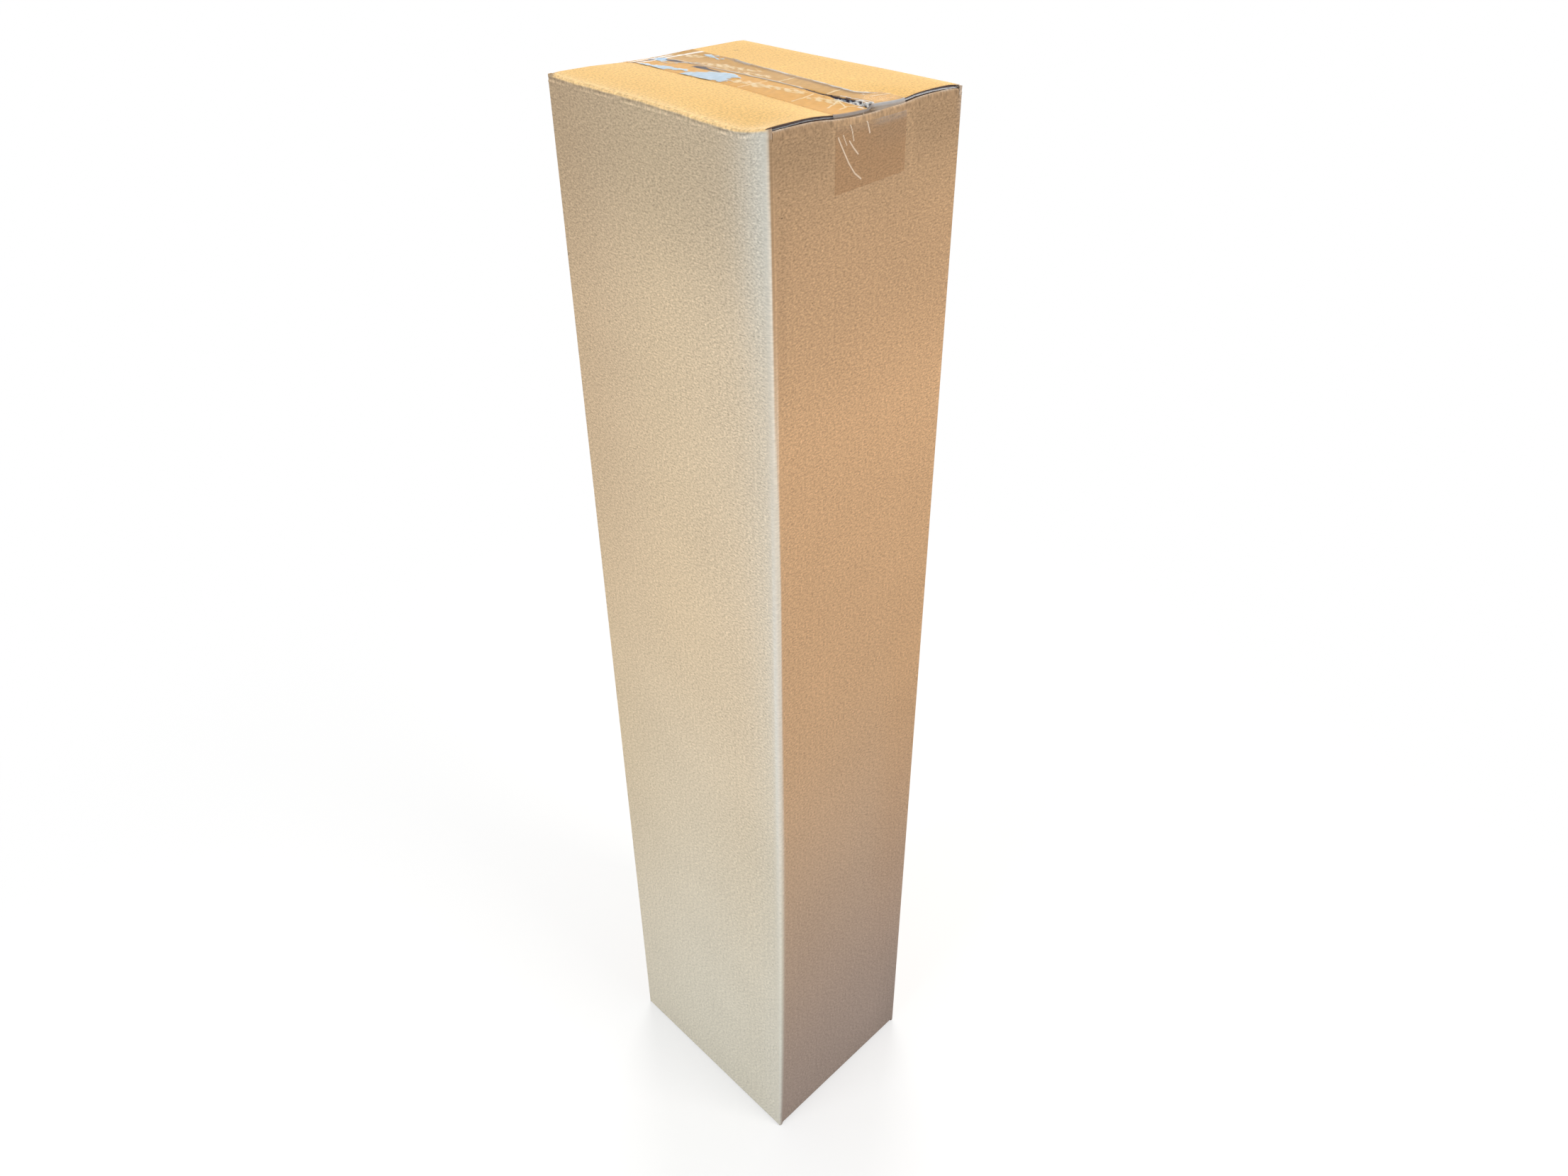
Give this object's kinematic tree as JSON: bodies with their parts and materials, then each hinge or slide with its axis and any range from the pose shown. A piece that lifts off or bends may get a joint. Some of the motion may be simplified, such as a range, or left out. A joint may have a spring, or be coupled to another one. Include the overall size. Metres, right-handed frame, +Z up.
{
  "type": "long corrugated shipping carton",
  "caption": "Tall narrow corrugated shipping carton with folded flaps at both ends, closed at the top with a strip of clear tape. Stands upright on its glued bottom.",
  "frame": {"origin": "on the floor, under the middle of the carton", "axes": "+Z up along the carton's length, +X across the narrow end walls, +Y across the wide side walls; the taped end wall that shows in the picture faces -Y"},
  "size_m": [0.197, 0.2354, 1.1022],
  "materials": {
    "corrugated_board": "matte kraft liner",
    "packing_tape": "clear glossy film"
  },
  "bodies": {
    "root": {"carton": "corrugated_board", "clear_tape": "packing_tape"}
  },
  "joints": []
}
